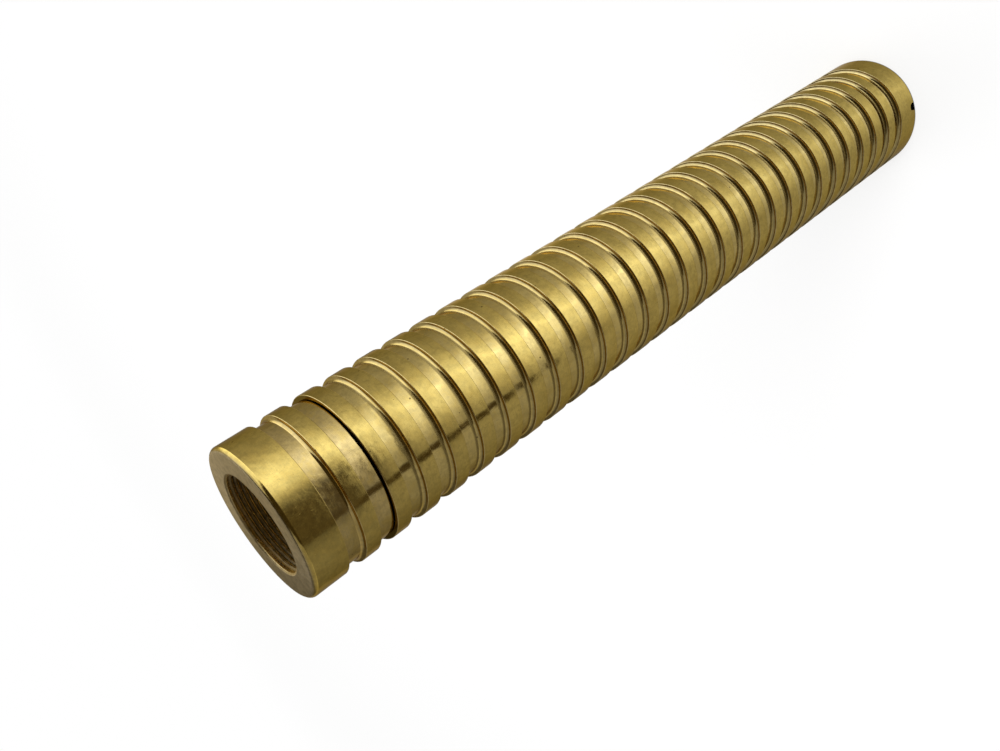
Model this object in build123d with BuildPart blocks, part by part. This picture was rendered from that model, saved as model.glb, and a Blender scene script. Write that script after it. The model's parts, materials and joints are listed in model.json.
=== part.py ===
from build123d import *
from math import asin, atan, ceil, degrees
import os

# A hand-held laser pointer turned from one-inch brass bar, with square ring grooves.
# It stands on its tail rim at z = 0 with the aperture up. Millimetres, +Z along the axis.

# Bar and ring pattern
outer_diameter = 25.4
groove_depth = 0.8
groove_width = 3.0
land_width = 2.7
front_band = 5.9            # plain band behind the aperture face
rear_band = 6.7             # plain band at the tail rim
joint_gap = 0.4             # open line between two screwed pieces
front_edge_radius = 0.5
rim_edge = 0.35

# Tail cap
recess_diameter = 17.6
recess_depth = 3.4
notch_width = 1.9
notch_depth = 2.0
web_thickness = 2.0
board_ledge = 0.8           # step that a board rests on
neck_length = 10.0
neck_clearance = 0.3        # thread room around a neck

# Tail button
button_diameter = 12.6
button_set_back = 0.9       # face of the button behind the rim
button_dome = 0.35
button_travel = 1.5
button_clearance = 0.2
flange_lip = 1.1            # flange past the button's side
flange_clearance = 0.4
flange_thickness = 1.0
nib_diameter = 3.0
nib_height = 1.0

# Switch
plunger_diameter = 4.4
plunger_length = 4.0
plunger_clearance = 0.3
plunger_edge = 0.3
flange_stop = 0.5           # flange to switch when the button is pressed
return_coils = 2.5
return_wire = 0.3
switch_side = 8.4
switch_height = 6.0
switch_corner = 0.8
board_thickness = 1.2
board_clearance = 0.1
switch_ring_height = 2.5
spanner_hole = 1.4

# Tube bores and seals
groove_wall = 1.4           # from a groove's floor in to the end bore
end_step = 1.0              # from the end bore in to the cell bore
mouth_chamfer = 0.4
seal_section = 1.1
seal_room = 0.1             # between a seal and the bore around it
seal_groove_width = 1.5
seal_set_back = 1.3         # from a shoulder to its seal groove

# Cell and its contacts
cell_length = 65.2
cell_wrap = 0.1
cell_clearance = 0.3        # between the wrap and the cell bore
cell_stand_off = 2.0        # cell bottom above the tail neck
cap_diameter = 5.8
cap_height = 1.2
crimp_width = 1.6
crimp_depth = 0.7
crimp_set_back = 3.2        # from the can's front to its crimp groove
insulator_thickness = 0.3
contact_gap = 0.2
tail_spring_base = 9.6
tail_spring_tip = 5.4
tail_spring_wire = 0.8
tail_spring_coils = 3.5
tail_spring_clearance = 0.5
front_spring_height = 6.5
front_spring_base = 7.2
front_spring_tip = 4.2
front_spring_wire = 0.7
front_spring_coils = 2.5

# Driver board
board_inset = 1.5           # driver board behind the heat sink's rear face
driver_room = 8.0           # least room in front of the driver board
inductor_diameter = 5.2
inductor_core = 4.2
inductor_height = 3.2
inductor_rim = 0.8
chip_length = 5.0
chip_width = 4.0
chip_height = 1.6
chip_edge = 0.25
capacitor_length = 3.2
capacitor_width = 1.6
capacitor_height = 1.3
driver_part_clearance = 0.8

# Heat sink and laser module
sink_clearance = 0.1
sink_wall = 1.2
module_diameter = 12.0
module_length = 43.0
module_clearance = 0.05
module_proud = 5.7          # module front past the heat sink
bulkhead = 2.0              # heat sink metal behind the module
diode_inset = 2.0
header_diameter = 5.6
header_thickness = 1.2
can_diameter = 4.6
can_height = 2.8
can_clearance = 0.2         # between the can and the crystal mount
lead_circle_diameter = 2.54
lead_diameter = 0.45
optic_clearance = 0.05
crystal_mount_diameter = 5.9
crystal_mount_length = 5.0
crystal_side = 1.5
crystal_length = 4.0
expander_set_off = 1.0      # from the crystal mount to the expander seat
expander_diameter = 7.0
expander_edge = 1.8
expander_hollow = 0.45
filter_set_back = 12.0      # from the module front to the filter seat
filter_clearance = 0.1
filter_thickness = 1.0
lens_spring_height = 1.2
lens_spring_clearance = 0.2
lens_spring_hole = 6.2
lens_spring_sheet = 0.3
lens_cell_diameter = 8.9
lens_cell_flange = 10.8
lens_cell_flange_height = 1.6
lens_cell_proud = 0.8
lens_diameter = 7.2
lens_ledge = 0.6
lens_edge = 1.6
lens_crown = 1.1
lens_set_back = 4.0         # from the lens cell's front to the lens seat

# Head and window
aperture_thread = 16.2      # inside the crests of the aperture thread
aperture_depth = 5.5
aperture_chamfer = 0.3
window_step = 0.6           # from the aperture thread in to the window bore
window_ring_height = 1.5
window_ring_wall = 1.3
window_ring_chamfer = 0.5
ring_clearance = 0.05
window_clearance = 0.3
window_thickness = 1.5
window_seal_section = 0.8
window_seal_clearance = 0.5
window_ledge = 1.5
head_web = 1.2
head_bore = 15.0
head_neck_length = 8.0
spanner_slot_width = 1.0
spanner_slot_depth = 0.6

# Radii and diameters worked out from the values above
bar_radius = outer_diameter / 2
root_radius = bar_radius - groove_depth
end_bore = 2 * (root_radius - groove_wall)
cell_bore = end_bore - 2 * end_step
cell_radius = cell_bore / 2 - cell_clearance - cell_wrap
neck_radius = end_bore / 2 - neck_clearance
flange_diameter = button_diameter + 2 * flange_lip
switch_bore = flange_diameter + 2 * flange_clearance
ring_bore = switch_bore + 2 * board_ledge
switch_ring_hole = tail_spring_base + tail_spring_wire + 2 * tail_spring_clearance
sink_radius = end_bore / 2 - sink_clearance
driver_bore = 2 * (sink_radius - sink_wall)
driver_cavity = driver_bore - 2 * board_ledge
driver_part_radius = driver_cavity / 2 - driver_part_clearance - inductor_diameter / 2
optic_bore = lens_cell_diameter + 2 * optic_clearance
filter_diameter = optic_bore - 2 * filter_clearance
lens_spring_diameter = optic_bore - 2 * lens_spring_clearance
lens_cell_hole = lens_diameter - 2 * lens_ledge
window_bore = aperture_thread - 2 * window_step
window_diameter = window_bore - 2 * window_clearance
window_ring_hole = window_bore - 2 * window_ring_wall
window_seal_diameter = window_bore - window_seal_section - 2 * window_seal_clearance
clear_aperture = window_bore - 2 * window_ledge

# Heights, from the rim up to the driver
pitch = groove_width + land_width
tail_shoulder = rear_band + pitch
body_rear = tail_shoulder + joint_gap
web_top = recess_depth + web_thickness
plunger_tip = web_top + flange_thickness + nib_height
plunger_top = plunger_tip + plunger_length
switch_bottom = plunger_tip + button_travel + flange_stop
board_seat = switch_bottom + switch_height
board_top = board_seat + board_thickness
neck_top = tail_shoulder + neck_length
cell_bottom = neck_top + cell_stand_off
cell_top = cell_bottom + cell_length
can_top = cell_top - cap_height
driver_bottom = cell_top + contact_gap + front_spring_height
driver_top = driver_bottom + board_thickness

# The tube has as many whole lands as the cell, the driver and the module need
module_reach = bulkhead + module_length - module_proud + head_neck_length
body_lands = ceil((driver_top + driver_room + module_reach - body_rear) / pitch)
head_shoulder = body_rear + body_lands * pitch
body_front = head_shoulder - joint_gap
front_face = head_shoulder - joint_gap + groove_width + pitch + front_band

# Heights, from the driver up to the aperture
sink_rear = driver_bottom - board_inset
sink_front = head_shoulder - head_neck_length
module_front = sink_front + module_proud
module_rear = module_front - module_length
cavity_top = module_rear - bulkhead
diode_seat = module_rear + diode_inset + header_thickness
crystal_seat = diode_seat + can_height + can_clearance
expander_seat = crystal_seat + crystal_mount_length + expander_set_off
filter_seat = module_front - filter_set_back
filter_top = filter_seat + filter_thickness
lens_cell_rear = filter_top + lens_spring_height
lens_cell_front = module_front + lens_cell_proud + lens_cell_flange_height
lens_seat = lens_cell_front - lens_set_back
aperture_floor = front_face - aperture_depth
window_top = aperture_floor - window_ring_height
window_bottom = window_top - window_thickness
window_seat = window_bottom - window_seal_section
web_bottom = window_seat - head_web

BOTTOM = (Align.CENTER, Align.CENTER, Align.MIN)
TOP = (Align.CENTER, Align.CENTER, Align.MAX)
CORNER = (Align.MIN, Align.MIN)

os.makedirs("parts", exist_ok=True)


def save(builder, name):
    builder.part.label = name
    export_step(builder.part, f"parts/{name}.step")


def seal_groove_floor(bore_diameter):
    return bore_diameter / 2 - seal_room - seal_section


# Radius and half angle of an arc centred on the axis, from its half width and its rise
def arc_radius(half_width, rise):
    return (half_width**2 + rise**2) / (2 * rise)


def arc_angle(half_width, rise):
    return degrees(asin(half_width / arc_radius(half_width, rise)))


# Tail cap: rim, two grooves, switch chamber and threaded neck
tail_groove_starts = [rear_band]
tail_seal_start = tail_shoulder + seal_set_back
with BuildPart() as tail_cap:
    with BuildSketch(Plane.XZ):
        with BuildLine():
            Polyline(
                (recess_diameter / 2, 0),
                (bar_radius, 0),
                (bar_radius, tail_shoulder),
                (neck_radius, tail_shoulder),
                (neck_radius, neck_top),
                (ring_bore / 2, neck_top),
                (ring_bore / 2, board_seat),
                (switch_bore / 2, board_seat),
                (switch_bore / 2, web_top),
                (button_diameter / 2 + button_clearance, web_top),
                (button_diameter / 2 + button_clearance, recess_depth),
                (recess_diameter / 2, recess_depth),
                close=True,
            )
        make_face()
    revolve(axis=Axis.Z)
    rim_edges = tail_cap.edges().filter_by(GeomType.CIRCLE).group_by(Axis.Z)[0]
    chamfer(rim_edges, rim_edge)
    with BuildSketch(Plane.XZ):
        with Locations(*[(root_radius, start) for start in tail_groove_starts]):
            Rectangle(2 * groove_depth, groove_width, align=CORNER)
        with Locations((seal_groove_floor(end_bore), tail_seal_start)):
            Rectangle(2 * seal_section, seal_groove_width, align=CORNER)
    revolve(axis=Axis.Z, mode=Mode.SUBTRACT)
    # one pass of a round cutter across the rim leaves a notch on each side
    with BuildSketch(Plane.YZ):
        with Locations((0, notch_depth - notch_width / 2)):
            Circle(notch_width / 2)
        Rectangle(notch_width, 2 * (notch_depth - notch_width / 2))
    extrude(amount=2 * bar_radius, both=True, mode=Mode.SUBTRACT)
save(tail_cap, "tail_cap")

# Button: domed face, stem through the web, flange behind it and a nib on the plunger
with BuildPart() as tail_button:
    with BuildSketch(Plane.XZ):
        with BuildLine():
            JernArc(
                (0, button_set_back),
                (1, 0),
                arc_radius(button_diameter / 2, button_dome),
                arc_angle(button_diameter / 2, button_dome),
            )
            Polyline(
                (button_diameter / 2, button_set_back + button_dome),
                (button_diameter / 2, web_top),
                (flange_diameter / 2, web_top),
                (flange_diameter / 2, web_top + flange_thickness),
                (nib_diameter / 2, web_top + flange_thickness),
                (nib_diameter / 2, plunger_tip),
                (0, plunger_tip),
                (0, button_set_back),
            )
        make_face()
    revolve(axis=Axis.Z)
save(tail_button, "tail_button")

with BuildPart() as switch_plunger:
    with Locations((0, 0, plunger_tip)):
        Cylinder(plunger_diameter / 2, plunger_length, align=BOTTOM)
    chamfer(switch_plunger.edges().filter_by(GeomType.CIRCLE).group_by(Axis.Z)[0], plunger_edge)
save(switch_plunger, "switch_plunger")

# Switch housing: square block with the plunger's bore from below
return_room = button_travel + (return_coils + 1) * return_wire
with BuildPart() as switch_housing:
    with Locations((0, 0, switch_bottom)):
        Box(switch_side, switch_side, switch_height, align=BOTTOM)
    fillet(switch_housing.edges().filter_by(Axis.Z), switch_corner)
    with Locations((0, 0, switch_bottom)):
        Cylinder(
            plunger_diameter / 2 + plunger_clearance,
            plunger_top + return_room - switch_bottom,
            align=BOTTOM,
            mode=Mode.SUBTRACT,
        )
save(switch_housing, "switch_housing")


def coil(base, height, base_diameter, tip_diameter, wire, coils, up=1):
    rise = height - wire
    taper = degrees(atan((tip_diameter - base_diameter) / 2 / rise))
    with BuildPart() as spring:
        with BuildLine() as centre_line:
            Helix(
                rise / coils,
                rise,
                base_diameter / 2,
                center=(0, 0, base + up * wire / 2),
                direction=(0, 0, up),
                cone_angle=taper,
            )
        start = centre_line.line @ 0
        with BuildSketch(Plane(start, z_dir=centre_line.line % 0)):
            Circle(wire / 2)
        sweep(path=centre_line.line, is_frenet=True)
    return spring


return_spring = coil(
    plunger_top,
    return_room,
    plunger_diameter - 2 * return_wire,
    plunger_diameter - 2 * return_wire,
    return_wire,
    return_coils,
)
save(return_spring, "return_spring")

with BuildPart() as switch_board:
    with Locations((0, 0, board_seat)):
        Cylinder(ring_bore / 2 - board_clearance, board_thickness, align=BOTTOM)
save(switch_board, "switch_board")

# Threaded ring with two spanner holes
with BuildPart() as switch_ring:
    with Locations((0, 0, board_top)):
        Cylinder(ring_bore / 2 - ring_clearance, switch_ring_height, align=BOTTOM)
        Cylinder(switch_ring_hole / 2, switch_ring_height, align=BOTTOM, mode=Mode.SUBTRACT)
        with PolarLocations((ring_bore + switch_ring_hole) / 4, 2):
            Cylinder(spanner_hole / 2, switch_ring_height, align=BOTTOM, mode=Mode.SUBTRACT)
save(switch_ring, "switch_ring")

tail_spring = coil(
    board_top,
    cell_bottom - board_top,
    tail_spring_base,
    tail_spring_tip,
    tail_spring_wire,
    tail_spring_coils,
)
save(tail_spring, "tail_spring")

# Cell: can with its crimp groove and positive cap, wrap and insulating ring
crimp_top = can_top - crimp_set_back
with BuildPart() as cell:
    with BuildSketch(Plane.XZ):
        with BuildLine():
            Polyline(
                (0, cell_bottom),
                (cell_radius, cell_bottom),
                (cell_radius, crimp_top - crimp_width),
                (cell_radius - crimp_depth, crimp_top - crimp_width / 2),
                (cell_radius, crimp_top),
                (cell_radius, can_top),
                (cap_diameter / 2, can_top),
                (cap_diameter / 2, cell_top),
                (0, cell_top),
                close=True,
            )
        make_face()
    revolve(axis=Axis.Z)
save(cell, "cell")

with BuildPart() as cell_sleeve:
    with Locations((0, 0, cell_bottom)):
        Cylinder(cell_radius + cell_wrap, can_top - cell_bottom, align=BOTTOM)
        Cylinder(cell_radius, can_top - cell_bottom, align=BOTTOM, mode=Mode.SUBTRACT)
save(cell_sleeve, "cell_sleeve")

with BuildPart() as cell_insulator:
    with Locations((0, 0, can_top)):
        Cylinder(cell_radius - crimp_depth, insulator_thickness, align=BOTTOM)
        Cylinder(cap_diameter / 2, insulator_thickness, align=BOTTOM, mode=Mode.SUBTRACT)
save(cell_insulator, "cell_insulator")

# Body tube: stepped bore and a ring pattern cut at one pitch
body_groove_starts = [body_rear - joint_gap + i * pitch for i in range(body_lands)]
with BuildPart() as body_tube:
    with BuildSketch(Plane.XZ):
        with BuildLine():
            Polyline(
                (end_bore / 2, body_rear),
                (bar_radius, body_rear),
                (bar_radius, body_front),
                (end_bore / 2, body_front),
                (end_bore / 2, sink_rear),
                (cell_bore / 2, sink_rear),
                (cell_bore / 2, neck_top),
                (end_bore / 2, neck_top),
                close=True,
            )
        make_face()
    revolve(axis=Axis.Z)
    with BuildSketch(Plane.XZ):
        with Locations(*[(root_radius, start) for start in body_groove_starts]):
            Rectangle(2 * groove_depth, groove_width, align=CORNER)
    revolve(axis=Axis.Z, mode=Mode.SUBTRACT)
    circles = body_tube.edges().filter_by(GeomType.CIRCLE)
    mouths = [circles.group_by(Axis.Z)[end].sort_by(SortBy.RADIUS)[0] for end in (0, -1)]
    chamfer(mouths, min(mouth_chamfer, (root_radius - end_bore / 2) / 2))
save(body_tube, "body_tube")


def seal_ring(groove_start, bore_diameter):
    floor = seal_groove_floor(bore_diameter)
    with BuildPart() as seal:
        with Locations((0, 0, groove_start + seal_groove_width / 2)):
            Torus(floor + seal_section / 2, seal_section / 2)
    return seal


tail_seal = seal_ring(tail_seal_start, end_bore)
save(tail_seal, "tail_seal")

# Head: threaded aperture, window seat, web, neck
head_groove_starts = [head_shoulder - joint_gap, head_shoulder - joint_gap + pitch]
head_seal_start = head_shoulder - seal_set_back - seal_groove_width
with BuildPart() as head:
    with BuildSketch(Plane.XZ):
        with BuildLine():
            Polyline(
                (neck_radius, sink_front),
                (neck_radius, head_shoulder),
                (bar_radius, head_shoulder),
                (bar_radius, front_face),
                (aperture_thread / 2, front_face),
                (aperture_thread / 2, aperture_floor),
                (window_bore / 2, aperture_floor),
                (window_bore / 2, window_seat),
                (clear_aperture / 2, window_seat),
                (clear_aperture / 2, web_bottom),
                (head_bore / 2, web_bottom),
                (head_bore / 2, sink_front),
                close=True,
            )
        make_face()
    revolve(axis=Axis.Z)
    face_edges = head.edges().filter_by(GeomType.CIRCLE).group_by(Axis.Z)[-1]
    fillet(face_edges.sort_by(SortBy.RADIUS)[-1], front_edge_radius)
    face_edges = head.edges().filter_by(GeomType.CIRCLE).group_by(Axis.Z)[-1]
    chamfer(face_edges.sort_by(SortBy.RADIUS)[0], aperture_chamfer)
    with BuildSketch(Plane.XZ):
        with Locations(*[(root_radius, start) for start in head_groove_starts]):
            Rectangle(2 * groove_depth, groove_width, align=CORNER)
        with Locations((seal_groove_floor(end_bore), head_seal_start)):
            Rectangle(2 * seal_section, seal_groove_width, align=CORNER)
    revolve(axis=Axis.Z, mode=Mode.SUBTRACT)
save(head, "head")

head_seal = seal_ring(head_seal_start, end_bore)
save(head_seal, "head_seal")

with BuildPart() as window_ring:
    with Locations((0, 0, window_top)):
        Cylinder(window_bore / 2 - ring_clearance, window_ring_height, align=BOTTOM)
        Cylinder(window_ring_hole / 2, window_ring_height, align=BOTTOM, mode=Mode.SUBTRACT)
    inner_edges = window_ring.edges().filter_by(GeomType.CIRCLE).group_by(Axis.Z)[-1]
    chamfer(inner_edges.sort_by(SortBy.RADIUS)[0], window_ring_chamfer)
    with Locations((0, 0, window_top + window_ring_height)):
        Box(window_bore, spanner_slot_width, spanner_slot_depth, align=TOP, mode=Mode.SUBTRACT)
save(window_ring, "window_ring")

with BuildPart() as window:
    with Locations((0, 0, window_bottom)):
        Cylinder(window_diameter / 2, window_thickness, align=BOTTOM)
save(window, "window")

with BuildPart() as window_seal:
    with Locations((0, 0, window_seat + window_seal_section / 2)):
        Torus(window_seal_diameter / 2, window_seal_section / 2)
save(window_seal, "window_seal")

# Heat sink: sleeve with the driver's cavity behind and the module's bore through its bulkhead
with BuildPart() as heat_sink:
    with BuildSketch(Plane.XZ):
        with BuildLine():
            Polyline(
                (sink_radius, sink_rear),
                (sink_radius, sink_front),
                (module_diameter / 2 + module_clearance, sink_front),
                (module_diameter / 2 + module_clearance, cavity_top),
                (driver_cavity / 2, cavity_top),
                (driver_cavity / 2, driver_top),
                (driver_bore / 2, driver_top),
                (driver_bore / 2, sink_rear),
                close=True,
            )
        make_face()
    revolve(axis=Axis.Z)
save(heat_sink, "heat_sink")

# Module housing: bores that step up towards the front, one for each optic
with BuildPart() as module_housing:
    with Locations((0, 0, module_rear)):
        Cylinder(module_diameter / 2, module_length, align=BOTTOM)
    bores = [
        (module_rear, diode_seat, header_diameter / 2 + optic_clearance),
        (diode_seat, crystal_seat, can_diameter / 2 + optic_clearance),
        (crystal_seat, expander_seat, crystal_mount_diameter / 2 + optic_clearance),
        (expander_seat, filter_seat, expander_diameter / 2 + optic_clearance),
        (filter_seat, module_front, optic_bore / 2),
    ]
    for low, high, radius in bores:
        with Locations((0, 0, low)):
            Cylinder(radius, high - low, align=BOTTOM, mode=Mode.SUBTRACT)
save(module_housing, "module_housing")

with BuildPart() as pump_diode:
    with Locations((0, 0, diode_seat - header_thickness)):
        Cylinder(header_diameter / 2, header_thickness, align=BOTTOM)
    with Locations((0, 0, diode_seat)):
        Cylinder(can_diameter / 2, can_height, align=BOTTOM)
save(pump_diode, "pump_diode")

with BuildPart() as diode_leads:
    with Locations((0, 0, driver_top)):
        with PolarLocations(lead_circle_diameter / 2, 3, start_angle=45, angular_range=270):
            Cylinder(lead_diameter / 2, diode_seat - header_thickness - driver_top, align=BOTTOM)
save(diode_leads, "diode_leads")

with BuildPart() as crystal_mount:
    with Locations((0, 0, crystal_seat)):
        Cylinder(crystal_mount_diameter / 2, crystal_mount_length, align=BOTTOM)
        Box(
            crystal_side + 2 * optic_clearance,
            crystal_side + 2 * optic_clearance,
            crystal_mount_length,
            align=BOTTOM,
            mode=Mode.SUBTRACT,
        )
save(crystal_mount, "crystal_mount")

with BuildPart() as laser_crystal:
    with Locations((0, 0, crystal_seat + (crystal_mount_length - crystal_length) / 2)):
        Box(crystal_side, crystal_side, crystal_length, align=BOTTOM)
save(laser_crystal, "laser_crystal")

# Expander lens: hollow on both faces
with BuildPart() as expander_lens:
    with BuildSketch(Plane.XZ):
        with BuildLine():
            rear_arc = JernArc(
                (0, expander_seat + expander_hollow),
                (1, 0),
                arc_radius(expander_diameter / 2, expander_hollow),
                -arc_angle(expander_diameter / 2, expander_hollow),
            )
            front_arc = JernArc(
                (0, expander_seat + expander_edge - expander_hollow),
                (1, 0),
                arc_radius(expander_diameter / 2, expander_hollow),
                arc_angle(expander_diameter / 2, expander_hollow),
            )
            Line(rear_arc @ 0, front_arc @ 0)
            Line(rear_arc @ 1, front_arc @ 1)
        make_face()
    revolve(axis=Axis.Z)
save(expander_lens, "expander_lens")

with BuildPart() as ir_filter:
    with Locations((0, 0, filter_seat)):
        Cylinder(filter_diameter / 2, filter_thickness, align=BOTTOM)
save(ir_filter, "ir_filter")

# Disc spring under the lens cell
with BuildPart() as lens_spring:
    with BuildSketch(Plane.XZ):
        with BuildLine():
            Polyline(
                (lens_spring_diameter / 2, filter_top),
                (lens_spring_diameter / 2, filter_top + lens_spring_sheet),
                (lens_spring_hole / 2, filter_top + lens_spring_height),
                (lens_spring_hole / 2, filter_top + lens_spring_height - lens_spring_sheet),
                close=True,
            )
        make_face()
    revolve(axis=Axis.Z)
save(lens_spring, "lens_spring")

# Lens cell: threaded barrel with a flange, and the lens on its inner seat
with BuildPart() as lens_cell:
    with BuildSketch(Plane.XZ):
        with BuildLine():
            Polyline(
                (lens_cell_hole / 2, lens_cell_rear),
                (lens_cell_diameter / 2, lens_cell_rear),
                (lens_cell_diameter / 2, module_front + lens_cell_proud),
                (lens_cell_flange / 2, module_front + lens_cell_proud),
                (lens_cell_flange / 2, lens_cell_front),
                (lens_diameter / 2 + optic_clearance, lens_cell_front),
                (lens_diameter / 2 + optic_clearance, lens_seat),
                (lens_cell_hole / 2, lens_seat),
                close=True,
            )
        make_face()
    revolve(axis=Axis.Z)
    with Locations((0, 0, lens_cell_front)):
        Box(lens_cell_flange, spanner_slot_width, spanner_slot_depth, align=TOP, mode=Mode.SUBTRACT)
save(lens_cell, "lens_cell")

with BuildPart() as collimating_lens:
    with BuildSketch(Plane.XZ):
        with BuildLine():
            crown = JernArc(
                (0, lens_seat + lens_edge + lens_crown),
                (1, 0),
                arc_radius(lens_diameter / 2, lens_crown),
                -arc_angle(lens_diameter / 2, lens_crown),
            )
            Polyline(crown @ 0, (0, lens_seat), (lens_diameter / 2, lens_seat), crown @ 1)
        make_face()
    revolve(axis=Axis.Z)
save(collimating_lens, "collimating_lens")

# Driver board in the heat sink's rear, its parts on the side away from the cell
with BuildPart() as driver_board:
    with Locations((0, 0, driver_bottom)):
        Cylinder(driver_bore / 2 - board_clearance, board_thickness, align=BOTTOM)
save(driver_board, "driver_board")

with BuildPart() as driver_inductor:
    with Locations((driver_part_radius, 0, driver_top)):
        Cylinder(inductor_diameter / 2, inductor_height, align=BOTTOM)
    winding_height = inductor_height - 2 * inductor_rim
    with Locations((driver_part_radius, 0, driver_top + inductor_rim)):
        Cylinder(inductor_diameter, winding_height, align=BOTTOM, mode=Mode.SUBTRACT)
        Cylinder(inductor_core / 2, winding_height, align=BOTTOM)
save(driver_inductor, "driver_inductor")

with BuildPart() as driver_chip:
    with Locations((-driver_part_radius, 0, driver_top)):
        Box(chip_width, chip_length, chip_height, align=BOTTOM)
    chamfer(driver_chip.edges().group_by(Axis.Z)[-1], chip_edge)
save(driver_chip, "driver_chip")

with BuildPart() as driver_capacitors:
    with Locations((0, 0, driver_top)):
        with PolarLocations(driver_part_radius + capacitor_width / 2, 2, start_angle=90):
            Box(capacitor_width, capacitor_length, capacitor_height, align=BOTTOM)
save(driver_capacitors, "driver_capacitors")

front_spring = coil(
    driver_bottom,
    front_spring_height,
    front_spring_base,
    front_spring_tip,
    front_spring_wire,
    front_spring_coils,
    up=-1,
)
save(front_spring, "front_spring")
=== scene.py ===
import json
import math
from types import SimpleNamespace

import bmesh
import bpy
from mathutils import Matrix, Vector


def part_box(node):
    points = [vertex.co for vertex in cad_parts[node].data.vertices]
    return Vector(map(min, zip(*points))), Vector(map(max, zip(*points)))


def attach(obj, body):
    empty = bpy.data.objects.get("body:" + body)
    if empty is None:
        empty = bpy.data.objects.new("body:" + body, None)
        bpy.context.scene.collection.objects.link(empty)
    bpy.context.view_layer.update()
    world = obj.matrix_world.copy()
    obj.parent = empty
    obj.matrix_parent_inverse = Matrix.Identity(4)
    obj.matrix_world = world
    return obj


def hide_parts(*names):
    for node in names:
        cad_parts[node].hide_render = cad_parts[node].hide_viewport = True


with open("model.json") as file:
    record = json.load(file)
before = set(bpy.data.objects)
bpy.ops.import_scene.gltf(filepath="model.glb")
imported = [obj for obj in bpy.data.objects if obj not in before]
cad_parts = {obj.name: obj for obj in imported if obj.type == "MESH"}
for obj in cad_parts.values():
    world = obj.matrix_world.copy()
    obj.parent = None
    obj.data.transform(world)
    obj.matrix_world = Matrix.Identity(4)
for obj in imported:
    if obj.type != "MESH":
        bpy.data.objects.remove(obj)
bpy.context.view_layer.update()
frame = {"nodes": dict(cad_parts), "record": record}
mm = 0.001

# The bar as the frame has it: radii in millimetres, heights above the tail rim
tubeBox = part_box("body_tube")
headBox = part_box("head")
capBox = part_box("tail_cap")
bar = {
    "radius": tubeBox[1].x / mm,
    "grooveDepth": 0.8,
    "grooveWidth": 3.0,
    "landWidth": 2.7,
    "rearBand": 6.7,
    "frontBand": 5.9,
    "tubeFront": tubeBox[1].z / mm,
    "headRear": headBox[0].z / mm,
    "frontFace": headBox[1].z / mm,
    "neckTop": capBox[1].z / mm,
    "edgeBreak": 0.10,      # rounding of a land's edges
    "footRound": 0.62,      # fillet of a groove's wall that faces the aperture
    "cornerRound": 0.12,    # fillet of the other wall
    "boreEdge": 0.05,       # rounding of the edges inside
    "capShoulder": 12.4,
    "jointStep": 0.05,      # from the fillet at the cap's shoulder to the rear joint
    "jointGap": 0.15,       # between the tube and the head
    "rearGap": 0.08,        # between the tube and the tail cap
    "axis": 0.0001,         # radius of the points on the axis, which are merged
}
bar["root"] = bar["radius"] - bar["grooveDepth"]
bar["rearJoint"] = bar["capShoulder"] + bar["footRound"] + bar["jointStep"]
bar["pitch"] = bar["grooveWidth"] + bar["landWidth"]

camera = {
    "place": (0.11490091, 0.05043797, 0.19666211),
    "aim": (0.00080764, -0.00176515, 0.12346524),
    "up": (-0.08067469, 0.86665634, -0.4923397),
    "lens": 31.283,
    "sensor": 36.0,
    "clip": (0.005, 50),
}


def newObject(name, data):
    obj = bpy.data.objects.new(name, data)
    bpy.context.scene.collection.objects.link(obj)
    return obj


def buildCamera():
    data = bpy.data.cameras.new("camera")
    data.lens = camera["lens"]
    data.sensor_width = camera["sensor"]
    data.sensor_fit = "HORIZONTAL"
    data.clip_start, data.clip_end = camera["clip"]
    obj = newObject("camera", data)
    place = Vector(camera["place"])
    back = (place - Vector(camera["aim"])).normalized()
    right = Vector(camera["up"]).cross(back).normalized()
    up = back.cross(right)
    turn = Matrix((right, up, back)).transposed().to_4x4()
    obj.matrix_world = Matrix.Translation(place) @ turn
    bpy.context.scene.camera = obj


buildCamera()
print("camera placed")


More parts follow.
